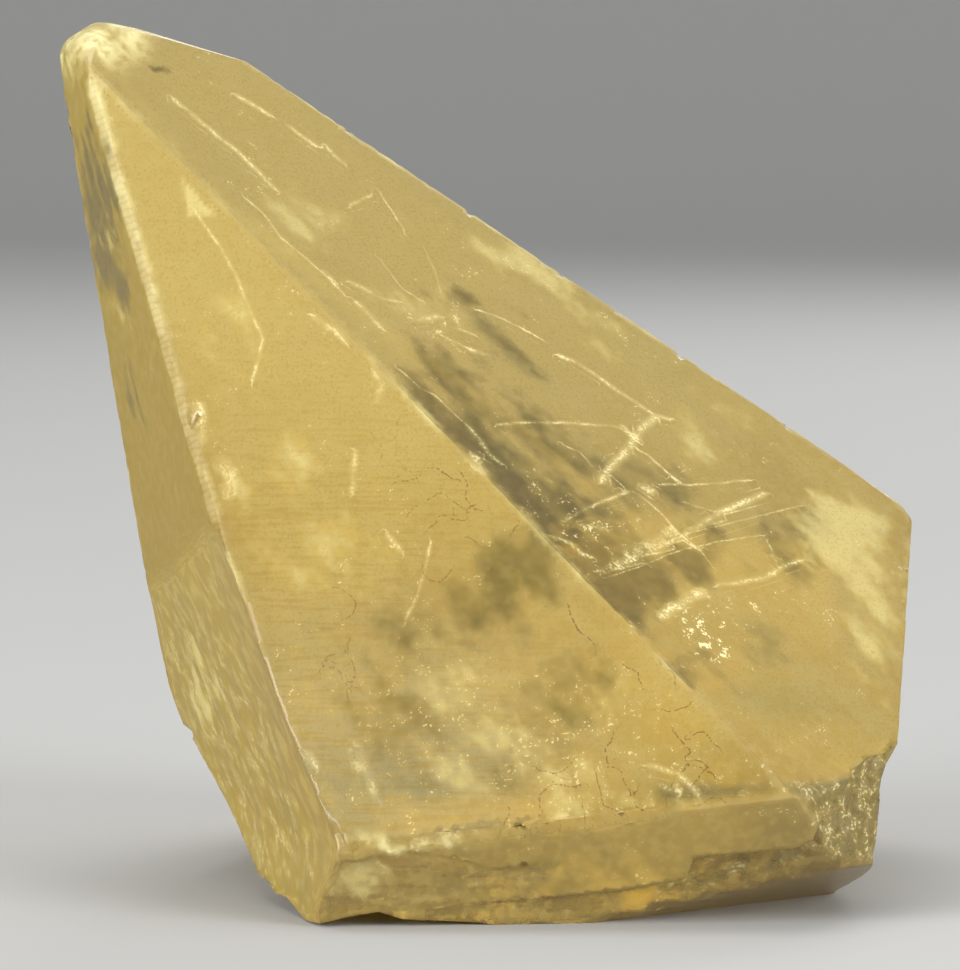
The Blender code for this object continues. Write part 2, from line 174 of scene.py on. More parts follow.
# Rounds that soften a surface's rim; the others get one round.
RIM_ROUNDS = {"strip": 0, "flank": 3, "base": 3}

# Surfaces that face the same way, and the soft rim of a zone, as where a smooth step starts and ends.
SAME_WAY = (0.9, 0.98)
SOFT_RIM = (0.3, 1.4)

# Marks on the hidden faces: lines for each face, the middle and half size of where they lie, and the
# lines' directions, half widths and strength.
SEED = 5
HIDDEN_FACES = {"back_left": 9, "back": 12, "back_right": 18, "right_low": 6, "back_low": 5}
HIDDEN_MIDDLE = {
    "back_left": (-40.0, 15.0, 48.0),
    "back": (-15.0, 35.0, 45.0),
    "back_right": (20.0, 15.0, 52.0),
    "right_low": (45.0, -5.0, 25.0),
    "back_low": (10.0, 40.0, 8.0),
}
HIDDEN_HALF_WIDTH = 20.0
HIDDEN_HALF_HEIGHT = 32.0
CLEAVAGE_ANGLES = (35.0, -48.0, -20.0)
CLEAVAGE_WIDTHS = (0.12, 0.16, 0.3, 0.45)
LINE_STRENGTH = 0.8

# Cracks, in front and behind: half width, and the length of one step of a crack in front.
CRACK_WIDTH = 0.1
CRACK_STEP = 0.9

# How far beside a line its value reaches and where that fades, in parts of the reach, how nearly the
# surface must face as the line does, and how far noise pulls the edges of the zones about.
REACH = 1.3
REACH_FADE = (0.55, 0.9)
LINE_FACING = 0.8
DRIFT = 2.4
DRIFT_SIZE = 7.0
DRIFT_SEEDS = (3.1, 11.7, 23.9)

# Each finer octave of noise is this much weaker and is read this far away.
OCTAVE_SHARE = 0.55
OCTAVE_SHIFT = 17.3

# Relief pressed into each kind of surface: depth, share of the noise, size and place of the noise.
RELIEF = {
    "ledge": (0.2, 0.4, 1.3, 3.0),
    "rubble": (0.15, 0.25, 2.0, 6.0),
    "band": (0.14, 0.25, (9.0, 7.0, 0.9), 9.0),
    "girdle": (0.1, 0.22, (2.0, 2.0, 1.2), 12.0),
    "strip": (0.03, 0.1, 1.1, 33.0),
    "tip": (0.06, 0.1, 1.8, 15.0),
}

# The deepest relief, and how relief is softened: rounds of averaging with the neighbours, the edge
# length at which a neighbour weighs as much as the point itself, and the most that it weighs.
DEEPEST = 1.0
SOFTEN_ROUNDS = 8
SOFTEN_LENGTH = 0.2
SOFTEN_MOST = 60.0

# Small pits: centre, radius and depth.
PITS = (
    ((-38.6, -0.5, 95.5), 0.9, 0.3),
    ((-6.1, -16.6, 76.6), 0.9, 0.15),
)

# Sizes of the material's noise and growth lines, and the pace of the notches along the bevel.
SMALL_GRAIN = 1.4
FINE_GRAIN = 0.34
GROWTH_LINE = (4.5, 4.5, 0.36)
NOTCH_PACE = 7.5

# Stage and light, in metres and watts. BOUNCES is how often light is followed, for each kind.
BOUNCES = {"max": 5, "diffuse": 1, "glossy": 1, "transmission": 5}
STAGE_RADIUS = 2.4
STAGE_BEND = 0.9
STAGE_HEIGHT = 1.6
STAGE_TINT = (0.46, 0.455, 0.44, 1.0)
STAGE_ROUGHNESS = 0.9
BEND_STEPS = 12
STAGE_SIDES = 96
STAGE_WELD = 1e-5
WORLD_TINT = (0.96, 0.98, 1.0, 1.0)
WORLD_STRENGTH = 0.64
LIGHT_SIZE = 0.7
LIGHT_AIM = Vector((0.0, 0.0, 0.05))
LIGHTS = (
    ("left", (-0.85, -0.6, 0.45), 10.3),
    ("right", (0.85, -0.75, 0.35), 12.5),
    ("top", (-0.1, 0.1, 1.1), 3.5),
    ("back", (0.35, 0.95, 0.6), 3.5),
)

# Marks seen on the front, each at x and z. GLINT is a bright triangle, a painted reflection. A veil is
# half width, strength and corners; the other zones are x, z, half width, half height, turn in degrees
# and strength.
GLINT = ((-35.4, 83.5), (-34.8, 78.7), (-31.0, 78.9))
VEILS = (
    (0.3, 0.8, ((-36.4, 92.0), (-32.9, 89.1), (-29.2, 86.2), (-24.7, 81.9))),
    (0.3, 0.8, ((-29.3, 92.3), (-27.6, 91.3), (-25.5, 90.0))),
    (0.24, 0.7, ((-23.2, 88.7), (-21.4, 87.3), (-19.9, 86.4))),
    (0.28, 0.7, ((-18.8, 86.2), (-17.0, 84.5))),
    (0.1, 0.6, ((-12.6, 81.0), (-10.8, 78.4), (-9.6, 76.5))),
    (0.2, 0.6, ((-16.0, 79.7), (-13.7, 80.7))),
    (0.14, 0.7, ((-28.0, 80.9), (-25.7, 78.9), (-23.9, 76.5), (-21.6, 74.6), (-19.3, 72.7),
        (-16.4, 69.9))),
    (0.3, 0.8, ((-18.7, 72.5), (-17.3, 70.8))),
    (0.32, 0.7, ((-15.6, 71.1), (-13.8, 70.3))),
    (0.2, 0.6, ((-12.4, 69.4), (-10.3, 68.9))),
    (0.32, 0.7, ((-15.0, 69.0), (-13.5, 67.6), (-12.3, 66.4))),
    (0.1, 0.6, ((-12.5, 73.7), (-9.9, 70.4), (-7.8, 69.0))),
    (0.1, 0.6, ((-7.3, 74.4), (-6.1, 72.2), (-5.5, 70.0))),
    (0.35, 0.5, ((-8.4, 66.8), (-5.5, 67.1))),
    (0.16, 0.7, ((-3.5, 65.8), (-1.6, 65.0))),
    (0.16, 0.7, ((-4.7, 64.8), (-3.1, 64.0))),
    (0.3, 0.9, ((-1.9, 63.4), (-0.6, 62.9))),
    (0.13, 0.8, ((-1.1, 67.7), (2.1, 66.4), (5.0, 64.9), (6.2, 64.2))),
    (0.26, 0.8, ((8.5, 62.2), (10.3, 61.5), (12.0, 60.4), (14.4, 58.7), (17.9, 56.4), (19.6, 55.2),
        (21.4, 54.7))),
    (0.42, 0.9, ((19.6, 55.0), (18.4, 54.2), (17.2, 53.0), (15.6, 51.0), (14.2, 50.2), (13.2, 48.7))),
    (0.18, 0.7, ((1.1, 55.2), (3.8, 55.3), (8.4, 55.1), (11.9, 54.7), (14.9, 54.3), (17.2, 53.3))),
    (0.5, 0.8, ((15.7, 54.1), (17.4, 53.0))),
    (0.15, 0.8, ((17.5, 51.7), (18.9, 50.9), (20.6, 49.3), (22.4, 48.0))),
    (0.15, 0.7, ((-10.0, 61.6), (-7.7, 59.6), (-5.8, 58.6), (-4.0, 56.8), (-2.3, 55.4))),
    (0.3, 0.8, ((-2.3, 55.4), (-0.8, 53.7), (0.3, 52.1), (1.5, 51.2))),
    (0.12, 0.6, ((9.0, 52.6), (10.7, 51.8), (11.9, 50.6))),
    (0.14, 0.7, ((13.9, 49.5), (15.9, 47.7), (17.6, 46.9), (19.9, 45.0), (22.2, 42.6), (24.5, 40.7),
        (25.8, 39.1))),
    (0.6, 0.9, ((17.9, 47.6), (18.9, 47.3))),
    (0.14, 0.7, ((20.2, 47.9), (23.6, 47.6), (27.7, 47.6), (30.7, 47.7))),
    (0.2, 0.7, ((8.9, 44.8), (10.6, 45.6), (12.9, 46.4), (15.1, 47.0), (16.5, 47.5))),
    (0.5, 0.7, ((11.2, 44.1), (12.8, 43.9))),
    (0.3, 0.9, ((7.5, 43.2), (9.4, 42.5), (10.8, 41.3), (11.7, 40.9))),
    (0.34, 0.9, ((12.8, 39.4), (15.7, 40.0), (18.6, 41.1), (21.6, 42.0), (24.6, 43.3), (27.0, 44.5),
        (30.7, 45.6), (32.5, 46.1))),
    (0.1, 0.6, ((13.6, 38.7), (17.4, 39.5), (22.1, 40.9), (26.9, 41.5), (31.7, 41.8))),
    (0.1, 0.6, ((14.0, 40.2), (18.6, 41.4), (23.4, 42.6), (29.4, 43.5), (36.7, 44.6))),
    (0.6, 0.8, ((15.7, 40.6), (17.5, 41.5), (20.4, 42.3), (21.3, 43.2))),
    (0.12, 0.6, ((22.9, 45.8), (26.4, 44.6))),
    (0.7, 0.9, ((19.9, 34.3), (21.0, 35.1), (23.1, 36.0), (24.6, 36.4))),
    (0.28, 0.8, ((26.5, 37.0), (29.1, 37.1), (32.1, 37.4), (33.9, 38.2), (36.3, 38.9))),
    (0.14, 0.6, ((32.8, 40.7), (33.7, 38.2))),
    (0.18, 0.6, ((-33.4, 79.0), (-32.0, 77.1), (-30.6, 75.3), (-29.0, 72.3), (-27.2, 68.3), (-25.7, 65.0),
        (-26.4, 62.2), (-26.9, 60.5))),
    (0.3, 0.7, ((-19.8, 67.6), (-17.5, 66.1), (-16.3, 64.8))),
    (0.4, 0.5, ((-12.8, 61.4), (-12.0, 60.0), (-12.5, 58.6))),
    (0.6, 0.8, ((-32.9, 57.4), (-32.6, 54.1))),
    (1.1, 0.5, ((-30.3, 51.4), (-29.1, 50.0), (-29.5, 48.1))),
    (0.35, 0.5, ((-15.1, 52.2), (-15.4, 48.4))),
    (0.7, 0.8, ((-1.4, 51.9), (-0.4, 50.6), (-0.8, 49.5))),
    (0.28, 0.6, ((-11.3, 43.4), (-9.9, 41.8))),
    (0.18, 0.6, ((-6.5, 42.3), (-7.1, 39.6), (-7.9, 36.9), (-9.3, 34.1))),
    (1.2, 0.5, ((-14.8, 20.2), (-14.2, 18.4))),
    (0.4, 0.5, ((-13.8, 18.1), (-12.3, 14.7))),
    (1.3, 0.6, ((-7.8, 9.7), (-5.3, 10.4), (-3.6, 10.7))),
    (0.26, 0.7, ((18.3, 18.5), (21.6, 17.5), (23.3, 15.9))),
    (0.4, 0.7, ((-20.2, 19.5), (-19.4, 18.4))),
    (0.5, 0.6, ((-23.6, 24.1), (-23.3, 23.4))),
)
CLEAR = (
    (2.5, 48.5, 20.0, 8.0, -47, 0.62),
    (12.0, 41.5, 10.0, 7.0, -40, 0.6),
    (-3.7, 58.1, 8.6, 3.7, -42, 0.75),
    (-2.0, 68.2, 5.2, 2.5, -20, 0.4),
    (-6.7, 71.6, 3.0, 3.0, 0, 0.3),
    (6.6, 52.8, 6.9, 3.9, -20, 0.7),
    (3.7, 47.7, 6.9, 3.0, -45, 0.85),
    (12.0, 38.8, 9.0, 5.0, -25, 1.6),
    (22.7, 39.5, 6.3, 3.0, 10, 0.85),
    (19.0, 35.4, 3.9, 1.8, -20, 0.85),
    (10.0, 44.8, 6.9, 2.8, -40, 0.75),
    (24.0, 28.4, 8.0, 3.0, -8, 0.45),
    (35.2, 40.5, 7.1, 4.6, 10, 0.45),
    (-38.6, 95.6, 1.5, 0.8, -25, 1.0),
    (18.8, 46.3, 6.9, 4.6, 0, 0.45),
    (1.5, 63.2, 8.0, 3.9, -20, 0.35),
    (29.4, 30.2, 5.7, 4.6, 0, 0.3),
    (0.1, 37.2, 9.4, 6.2, 20, 0.72),
    (-12.7, 30.8, 9.0, 6.0, 0, 0.3),
    (-3.7, 33.6, 8.0, 3.4, 0, 0.35),
    (-10.4, 22.7, 9.5, 6.0, 0, 0.36),
    (8.5, 26.0, 9.0, 5.5, 20, 0.42),
    (5.3, 18.5, 6.0, 6.5, 0, 0.38),
    (-5.3, 16.3, 6.9, 3.0, 0, 0.3),
    (-45.2, 80.4, 2.6, 7.5, 12, 1.0),
    (-46.6, 87.5, 1.6, 3.0, 12, 0.7),
    (-43.9, 71.0, 3.2, 2.6, -20, 1.0),
    (-44.4, 86.4, 1.4, 3.0, 10, 0.7),
    (-41.2, 57.0, 1.4, 6.9, 12, 0.25),
)
CLOUD = (
    (-15.0, 5.5, 4.0, 3.0, 0, 0.9),
    (-17.9, 40.6, 10.0, 6.5, 0, 0.32),
    (-5.3, 26.5, 7.6, 2.3, 10, 0.6),
    (1.4, 21.7, 3.9, 5.1, 0, 0.6),
    (8.2, 18.0, 4.6, 3.4, 0, 0.4),
    (-24.8, 50.0, 9.0, 4.0, 5, 0.3),
    (-2.0, 17.9, 6.9, 3.0, 0, 0.5),
    (12.7, 25.5, 5.7, 4.6, 0, 0.4),
    (41.6, 41.7, 6.0, 5.2, 0, 1.3),
    (5.1, 72.6, 7.6, 2.5, -34, 0.7),
    (25.0, 53.3, 6.9, 3.9, -30, 0.4),
    (13.3, 64.8, 6.9, 2.3, -34, 0.4),
    (-7.8, 68.4, 6.9, 2.1, -10, 0.5),
    (-21.8, 79.3, 6.9, 3.4, -30, 0.35),
    (44.5, 34.2, 4.6, 11.0, 0, 0.75),
    (-27.2, 66.1, 8.0, 6.9, 0, 0.3),
    (-44.0, 74.6, 1.6, 1.6, 0, 0.6),
    (-42.9, 67.5, 2.3, 1.4, 0, 0.3),
    (-33.6, 23.1, 3.9, 6.9, 20, 0.4),
    (14.9, 14.8, 10.3, 3.4, 6, 0.35),
)
# Partly painted sparkle: where small white flakes and chips are painted in as glints of the front.
SPARKS = (
    (12.0, 19.5, 15.0, 8.0, 0, 0.6),
    (-6.0, 24.0, 10.0, 8.0, 0, 0.5),
    (25.5, 31.5, 4.4, 3.9, 0, 1.0),
    (31.9, 35.1, 4.6, 2.5, -10, 0.8),
    (24.3, 35.6, 4.6, 1.6, 0, 0.5),
    (12.9, 44.1, 3.4, 1.6, 0, 0.8),
    (-6.6, 66.8, 4.6, 1.6, 0, 0.7),
    (3.9, 72.0, 5.3, 2.3, -30, 0.6),
    (10.5, 42.2, 3.4, 1.8, -30, 0.8),
    (-9.9, 42.9, 3.0, 1.8, 0, 0.6),
    (-2.0, 51.7, 2.3, 2.3, 0, 0.8),
    (-7.6, 36.3, 2.3, 5.7, -15, 0.4),
    (-21.4, 53.9, 4.6, 2.3, 0, 0.3),
    (-32.3, 22.2, 5.1, 9.2, 25, 0.5),
    (11.5, 12.6, 10.3, 2.3, 6, 0.7),
    (-4.2, 25.5, 10.3, 2.3, 6, 0.35),
    (26.1, 15.9, 6.9, 2.3, 0, 0.4),
)
CRACKLE = (
    (18.9, 23.4, 10.3, 10.3, 0, 1.0),
    (-4.8, 46.2, 5.3, 6.9, 0, 0.8),
    (-17.8, 33.0, 3.0, 5.7, 0, 0.7),
    (12.6, 13.7, 13.8, 3.9, 6, 0.8),
    (-12.2, 51.7, 6.9, 3.4, 0, 0.3),
)


def face_plane(name):
    """Outward direction of a face and its distance from the origin, in the CAD's frame."""
    azimuth, slope, distance = radians(FACES[name][0]), radians(FACES[name][1]), FACES[name][2]
    lean = radians(AXIS_LEAN)
    right = np.array((cos(lean), 0.0, sin(lean)))
    tip = np.array((-sin(lean), 0.0, cos(lean)))
    front = np.array((0.0, -1.0, 0.0))
    normal = (cos(azimuth) * right + sin(azimuth) * front) * cos(slope) + sin(slope) * tip
    return normal, normal[0] * AXIS_RIGHT + distance + normal @ SHIFT


PLANES = {name: face_plane(name) for name in FACES}


def on_crystal(x, z):
    """The point of the crystal's front, right or left faces at x and z, and which way it faces."""
    depths = []
    for name in SEEN_FACES:
        normal, distance = PLANES[name]
        depths.append((distance - normal[0] * x - normal[2] * z) / normal[1])
    nearest = int(np.argmax(depths))
    return np.array((x, depths[nearest], z)), PLANES[SEEN_FACES[nearest]][0]


# The crystal's fine mesh.


def fine_limit(point):
    """Edge length at a point: short where the surface is rough or richly marked, longer behind."""
    if point.y > BACK_START:
        return EDGE_BACK
    normal, distance = PLANES["edge_strip"]
    if point.z > BEVEL_FOOT and distance - normal @ np.array(point) < BEVEL_DEPTH:
        return EDGE_BEVEL
    if point.z < BREAKS_TOP and (point.x < BREAKS_LEFT or point.z < RUBBLE_TOP or point.x > BREAKS_RIGHT):
        return EDGE_BROKEN
    return EDGE_FRONT


def split_edges(mesh):
    """Cut each edge into equal parts that are about as long as the limit there, or shorter."""
    for edge in list(mesh.edges):
        middle = (edge.verts[0].co + edge.verts[1].co) / 2.0 / MM
        parts = ceil(edge.calc_length() / MM / fine_limit(middle) - EDGE_SLACK)
        start, end = edge.verts
        for left in range(parts, 1, -1):
            new_edge, start = bmesh.utils.edge_split(edge, start, 1.0 / left)
            edge = edge if end in edge.verts else new_edge


def even_triangles(mesh, face):
    """Even triangles that fill a flat face, as corners; new corners are added to the mesh."""
    corners = [vertex.co / MM for vertex in face.verts]
    normal = face.normal.copy()
    across = normal.orthogonal().normalized()
    up = normal.cross(across)
    origin = corners[0]
    outline = [Vector(((corner - origin).dot(across), (corner - origin).dot(up))) for corner in corners]
    near = kdtree.KDTree(len(outline))
    for number, corner in enumerate(outline):
        near.insert(corner.to_3d(), number)
    near.balance()
    low = [min(corner[axis] for corner in outline) for axis in range(2)]
    high = [max(corner[axis] for corner in outline) for axis in range(2)]
    points = list(outline)
    row, v = 0, low[1]
    while v < high[1]:
        u = low[0] + ROW_SHIFT * (row % 2)
        while u < high[0]:
            limit = fine_limit(origin + across * u + up * v)
            if near.find((u, v, 0.0))[2] > RIM_GAP * limit:
                points.append(Vector((u, v)))
            u += limit
        limit = fine_limit(origin + across * (low[0] + high[0]) / 2.0 + up * v)
        v += limit * ROW_STEP
        row += 1
    made = delaunay_2d_cdt(points, [], [list(range(len(outline)))], 1, FILL_GAP)
    place = {}
    for number, sources in enumerate(made[3]):
        known = [source for source in sources if source < len(outline)]
        if known:
            place[number] = face.verts[known[0]]
    triangles = []
    for triangle in made[2]:
        for number in triangle:
            if number not in place:
                u, v = made[0][number]
                place[number] = mesh.verts.new((origin + across * u + up * v) * MM)
        triangles.append([place[number] for number in triangle])
    return triangles


def refined_copy(node):
    """The CAD solid as fine, even triangles, the same in shape."""
    mesh = bmesh.new()
    mesh.from_mesh(node.data)
    bmesh.ops.remove_doubles(mesh, verts=mesh.verts, dist=WELD_GAP * MM)
    flat = radians(FLAT_ANGLE)
    bmesh.ops.dissolve_limit(mesh, angle_limit=flat, verts=mesh.verts, edges=mesh.edges)
    split_edges(mesh)
    triangles = []
    for face in mesh.faces:
        triangles += even_triangles(mesh, face)
    bmesh.ops.delete(mesh, geom=mesh.faces[:], context="FACES_ONLY")
    for triangle in triangles:
        mesh.faces.new(triangle)
    bmesh.ops.recalc_face_normals(mesh, faces=mesh.faces)
    return mesh


# Where each kind of surface and each mark is.


def smooth(value, low=0.0, high=1.0):
    """0 below low, 1 above high, and a soft step between, for arrays."""
    share = np.clip((value - low) / (high - low), 0.0, 1.0)
    return share * share * (3.0 - 2.0 * share)


def rough(points, size, seed=0.0, octaves=1):
    """Smooth noise of about -0.6 to 0.6 at each point; size is one number or one for each axis."""
    total = np.zeros(len(points))
    for octave in range(octaves):
        scaled = points * 2.0 ** octave / np.asarray(size) + seed + OCTAVE_SHIFT * octave
        total += OCTAVE_SHARE ** octave * np.array([noise.noise(point) for point in scaled.tolist()])
    return total


def drawn_out(points, along, share):
    """The points squeezed along a direction, so that noise read there is drawn out along it."""
    return points - share * (points @ along)[:, None] * along


def soft_zone(distance, strength, normals, outward):
    """The strength within a distance of 1, with a soft rim, on the face that looks outward."""
    return strength * (1.0 - smooth(distance, *SOFT_RIM)) * smooth(normals @ outward, *SAME_WAY)


def spots(points, normals, rows):
    """How far inside the soft ellipses (x, z, half width, half height, turn, strength) each point is."""
    total = np.zeros(len(points))
    for x, z, width, height, turn, strength in rows:
        turn = radians(turn)
        across = (points[:, 0] - x) * cos(turn) + (points[:, 2] - z) * sin(turn)
        up = (points[:, 2] - z) * cos(turn) - (points[:, 0] - x) * sin(turn)
        distance = np.hypot(across / width, up / height)
        total = np.maximum(total, soft_zone(distance, strength, normals, on_crystal(x, z)[1]))
    return total


def blobs(points, normals, rows):
    """How far inside soft balls (centre, radius, strength, outward) on the hidden faces."""
    total = np.zeros(len(points))
    for centre, radius, strength, outward in rows:
        distance = np.linalg.norm(points - centre, axis=1) / radius
        total = np.maximum(total, soft_zone(distance, strength, normals, outward))
    return total


def line_fields(points, normals, lines):
    """Signed distance to the nearest line, the line's half width, and how strong it is there."""
    count = len(points)
    best = np.full(count, REACH)
    side = np.full(count, REACH)
    width = np.full(count, CRACK_WIDTH)
    power = np.zeros(count)
    for half_width, strength, corners, outward in lines:
        for start, end in zip(corners[:-1], corners[1:]):
            low = np.minimum(start, end) - REACH
            high = np.maximum(start, end) + REACH
            near = np.flatnonzero(np.all((points > low) & (points < high), axis=1))
            near = near[normals[near] @ outward > LINE_FACING]
            if len(near) == 0:
                continue
            along = end - start
            offset = points[near] - start
            share = np.clip(offset @ along / (along @ along), 0.0, 1.0)
            gap = offset - share[:, None] * along
            distance = np.linalg.norm(gap, axis=1)
            sign = np.where(gap @ np.cross(outward, along) < 0.0, -1.0, 1.0)
            closer = distance < best[near]
            chosen = near[closer]
            best[chosen] = distance[closer]
            side[chosen] = (distance * sign)[closer]
            width[chosen] = half_width
            power[chosen] = strength
    return side, width, power * (1.0 - smooth(best / REACH, *REACH_FADE))


def neighbour_average(values, edges, rounds, weights):
    """Soften values over the mesh by averaging each with its neighbours, by the edges' weights."""
    first, second = edges.T
    count = len(values)
    counts = np.bincount(first, weights, count) + np.bincount(second, weights, count)
    for _ in range(rounds):
        total = np.bincount(first, weights * values[second], count)
        total += np.bincount(second, weights * values[first], count)
        values = (values + total) / (1.0 + counts)
    return values


def hidden_marks(chance):
    """Cleavage lines, cracks, clear zones and clouds for the faces that the photograph doesn't show."""
    lines, cracks, clear, cloud = [], [], [], []
    for name, count in HIDDEN_FACES.items():
        normal, distance = PLANES[name]
        across = np.cross(normal, (0.0, 0.0, 1.0))
        across /= np.linalg.norm(across)
        up = np.cross(across, normal)
        middle = np.array(HIDDEN_MIDDLE[name])
        middle = middle + (distance - normal @ middle) * normal

        def somewhere():
            sideways = across * chance.uniform(-HIDDEN_HALF_WIDTH, HIDDEN_HALF_WIDTH)
            return middle + sideways + up * chance.uniform(-HIDDEN_HALF_HEIGHT, HIDDEN_HALF_HEIGHT)

        def wander(length, angle, bend, parts=5):
            corners = [somewhere()]
            for _ in range(parts):
                angle += chance.uniform(-bend, bend)
                corners.append(corners[-1] + (across * cos(angle) + up * sin(angle)) * length / parts)
            return corners

        for _ in range(count):
            angle = radians(chance.choice(CLEAVAGE_ANGLES) + chance.uniform(-6.0, 6.0))
            width = chance.choice(CLEAVAGE_WIDTHS)
            line = wander(chance.uniform(2.5, 15.0), angle, 0.12)
            lines.append((width, LINE_STRENGTH, line, normal))
            crack = wander(chance.uniform(3.0, 9.0), chance.uniform(0.0, 6.3), 0.9)
            cracks.append((CRACK_WIDTH, LINE_STRENGTH, crack, normal))
        for zones in (clear, clear, cloud, cloud):
            for _ in range(3):
                zones.append((somewhere(), chance.uniform(4.0, 13.0), chance.uniform(0.3, 0.7), normal))
    return lines, cracks, clear, cloud


def front_cracks(chance):
    """Thin wandering cracks within the crackled ellipses of the front."""
    cracks = []
    for x, z, width, height, _, strength in CRACKLE:
        outward = on_crystal(x, z)[1]
        for _ in range(int(3 + width * height * strength / 6.0)):
            angle = chance.uniform(0.0, 2.0 * pi)
            reach = chance.uniform(0.1, 1.0) ** 0.5
            place = [x + width * reach * cos(angle), z + height * reach * sin(angle)]
            heading = chance.uniform(0.0, 2.0 * pi)
            corners = []
            for _ in range(chance.randint(4, 9)):
                corners.append(on_crystal(*place)[0])
                heading += chance.uniform(-0.9, 0.9)
                place[0] += cos(heading) * CRACK_STEP
                place[1] += sin(heading) * CRACK_STEP
            cracks.append((CRACK_WIDTH, strength, corners, outward))
    return cracks


def surface_zones(points, normals, edges):
    """Every zone that the relief and the colours use, one value for each point."""
    gaps = np.array([distance - points @ normal for normal, distance in PLANES.values()])
    gap = dict(zip(PLANES, gaps))
    ordered = np.sort(gaps, axis=0)
    x, _, z = points.T
    rightward, frontward, upward = normals[:, 0], -normals[:, 1], normals[:, 2]
    broken = (ordered[0] > BROKEN_GAP).astype(float)
    front, front_low = gap["front"], gap["front_low"]

    # Breaks: the flank on the left, the base, and the layers and the ledge under the front.
    zones = {}
    zones["flank"] = broken * (rightward < -0.45) * (z < FLANK_TOP) * (upward > -0.75)
    zones["base"] = (upward < -0.7) * (z < BASE_TOP) * (front_low > 2.0)
    under = (smooth(frontward, 0.05, 0.2) > 0.5) * (z < UNDER_TOP) * (x > UNDER_LEFT)
    under = under * (1.0 - zones["flank"])
    zones["brown"] = under * (front_low > 1.1) * (upward < -0.42)
    ledge = under * (front_low > 0.9) * (x > LEDGE_LEFT) * (upward > -0.62)
    corner = broken * (rightward > 0.6) * (z < LEDGE_TOP) * (x > LEDGE_CORNER)
    zones["ledge"] = np.maximum(ledge, corner) * (1.0 - zones["brown"])
    zones["band"] = under * broken * (x < BAND_RIGHT) * (front_low < 1.2) * (front > 0.5)
    zones["girdle"] = under * (front < 1.0) * (front_low < 1.3) * (x < GIRDLE_RIGHT)
    zones["lower"] = under * (front_low < 1.2) * (front > 0.35)
    zones["strip"] = (gap["edge_strip"] < BROKEN_GAP) * (z > STRIP_FOOT)
    for name in zones:
        marked = zones[name].astype(float)
        zones[name] = neighbour_average(marked, edges, RIM_ROUNDS.get(name, 1), np.ones(len(edges)))
    zones["rubble"] = zones["base"] * (1.0 - 0.8 * zones["brown"])

    # The worn tip, the orange bruise, the left face and the growth lines of the front.
    from_tip = np.linalg.norm((points - np.array(TIP_POINT)) * (1.0, 0.7, 1.15), axis=1)
    zones["tip"] = 1.0 - smooth(from_tip, 3.0, 9.0)
    start, end = np.array(ORANGE_START), np.array(ORANGE_END)
    share = np.clip((points - start) @ (end - start) / ((end - start) @ (end - start)), 0.0, 1.0)
    beside = np.linalg.norm(points - start - share[:, None] * (end - start), axis=1)
    zones["orange"] = smooth(-rightward, 0.3, 0.6) * (1.0 - smooth(beside, 3.0, 12.0))
    zones["orange"] *= smooth(52.0 - z, 0.0, 18.0)
    zones["left"] = smooth(normals @ PLANES["left"][0], *SAME_WAY)

    like_front, like_right = normals @ PLANES["front"][0], normals @ PLANES["right"][0]
    growth = smooth(like_front, *SAME_WAY) * smooth(70.0 - z, 0.0, 30.0) * smooth(22.0 - x, 0.0, 30.0)
    zones["growth"] = np.maximum(growth, np.maximum(zones["band"], 0.5 * zones["lower"]))
    zones["flecks"] = zones["flank"] * (1.0 - 0.8 * zones["orange"]) * smooth(50.0 - z, 0.0, 26.0) * 0.7
    zones["flecks"] += 0.9 * zones["ledge"] + 0.15 * zones["band"]
    zones["flecks"] += 0.3 * zones["base"]

    # Edges are worn, but not the crisp one between the two big faces; their chalk is partly a painted
    # highlight.
    middle_edge = smooth(like_front, 0.85, 0.93) * smooth(like_right, 0.85, 0.93)
    zones["worn"] = (1.0 - smooth(ordered[1], 0.1, 0.6)) * (1.0 - middle_edge)
    return zones


def glint(points, normals):
    """1 inside the glint, a painted reflection in the bright triangle of the front, 0 outside."""
    inside = np.full(len(points), REACH)
    for (x0, z0), (x1, z1) in zip(GLINT, GLINT[1:] + GLINT[:1]):
        beyond = (x1 - x0) * (points[:, 2] - z0) - (z1 - z0) * (points[:, 0] - x0)
        inside = np.minimum(inside, beyond / hypot(x1 - x0, z1 - z0))
    return smooth(inside, -0.1, 0.5) * (normals[:, 1] < -0.3)


def marks_on(points, normals, zones):
    """Add the line fields, the clear and cloudy zones with the painted glint, and the flakes, partly
    painted sparkle, to the zones.
    """
    chance = Random(SEED)
    lines, cracks, clear, cloud = hidden_marks(chance)
    for half_width, strength, corners in VEILS:
        placed = [on_crystal(*corner) for corner in corners]
        lines.append((half_width, strength, [place[0] for place in placed], placed[0][1]))
    cracks += front_cracks(chance)
    zones["line_side"], zones["line_width"], zones["line_power"] = line_fields(points, normals, lines)
    zones["line_power"] *= 0.35 + 0.65 * smooth(rough(points, 2.6, 51.0, 2), -0.45, 0.25)
    zones["crack_side"], _, zones["crack_power"] = line_fields(points, normals, cracks)

    drift = [DRIFT * rough(points, DRIFT_SIZE, seed, 4) for seed in DRIFT_SEEDS]
    drifted = points + np.stack(drift, axis=1)
    zones["clear"] = np.maximum(spots(drifted, normals, CLEAR), blobs(drifted, normals, clear))
    zones["cloud"] = np.maximum(spots(drifted, normals, CLOUD), blobs(drifted, normals, cloud))
    # The glint, a painted reflection, is painted in as cloud.
    zones["cloud"] = np.maximum(zones["cloud"], 0.9 * glint(points, normals))
    stray = smooth(rough(points, 5.0, 30.0, 3), 0.0, 0.7) * 0.6
    # White flakes, partly painted sparkle, thickest in the SPARKS zones and strewn at random elsewhere.
    zones["flakes_and_sparkle"] = np.maximum(spots(drifted, normals, SPARKS), stray)


